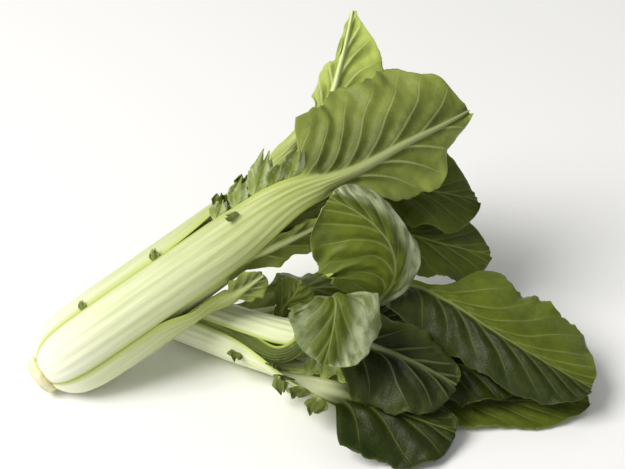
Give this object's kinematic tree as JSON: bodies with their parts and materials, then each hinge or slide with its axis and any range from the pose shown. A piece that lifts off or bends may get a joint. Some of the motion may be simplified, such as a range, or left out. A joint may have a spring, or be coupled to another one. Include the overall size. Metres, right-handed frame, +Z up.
{
  "type": "bok choy bunch",
  "caption": "Bunch of bok choy lying on a table: pale ribbed stalks swelling from a cut stem and broad waved green leaves",
  "frame": {"origin": "on the table, on the flat spot under the lower head's bottom stalk, close to where the upper head crosses it", "axes": "+Z up from the table; +X to the right as the picture sees it, along the bunch from the cut stems to the leaves; +Y away from the picture's camera"},
  "size_m": [0.4104, 0.2827, 0.2193],
  "materials": {
    "stem": "cut stem, cream, drying at the cut",
    "stalk": "smooth moist pale green stalk with fine ribs",
    "blade": "waxy green leaf with paler veins, softly glossy"
  },
  "bodies": {
    "root": {"upper_stem": "stem", "upper_leaf_1_stalk": "stalk", "upper_leaf_1_blade": "blade", "upper_leaf_2_stalk": "stalk", "upper_leaf_2_blade": "blade", "upper_leaf_3_stalk": "stalk", "upper_leaf_3_blade": "blade", "upper_leaf_4_stalk": "stalk", "upper_leaf_4_blade": "blade", "upper_leaf_5_stalk": "stalk", "upper_leaf_5_blade": "blade", "upper_leaf_6_stalk": "stalk", "upper_leaf_6_blade": "blade", "upper_leaf_7_stalk": "stalk", "upper_leaf_7_blade": "blade", "upper_leaf_8_stalk": "stalk", "upper_leaf_8_blade": "blade", "upper_leaf_9_stalk": "stalk", "upper_leaf_9_blade": "blade", "upper_leaf_10_stalk": "stalk", "upper_leaf_10_blade": "blade", "upper_leaf_11_stalk": "stalk", "upper_leaf_11_blade": "blade", "lower_stem": "stem", "lower_leaf_1_stalk": "stalk", "lower_leaf_1_blade": "blade", "lower_leaf_2_stalk": "stalk", "lower_leaf_2_blade": "blade", "lower_leaf_3_stalk": "stalk", "lower_leaf_3_blade": "blade", "lower_leaf_4_stalk": "stalk", "lower_leaf_4_blade": "blade", "lower_leaf_5_stalk": "stalk", "lower_leaf_5_blade": "blade", "lower_leaf_6_stalk": "stalk", "lower_leaf_6_blade": "blade", "lower_leaf_7_stalk": "stalk", "lower_leaf_7_blade": "blade", "lower_leaf_8_stalk": "stalk", "lower_leaf_8_blade": "blade", "lower_leaf_9_stalk": "stalk", "lower_leaf_9_blade": "blade", "lower_leaf_10_stalk": "stalk", "lower_leaf_10_blade": "blade"}
  },
  "joints": []
}
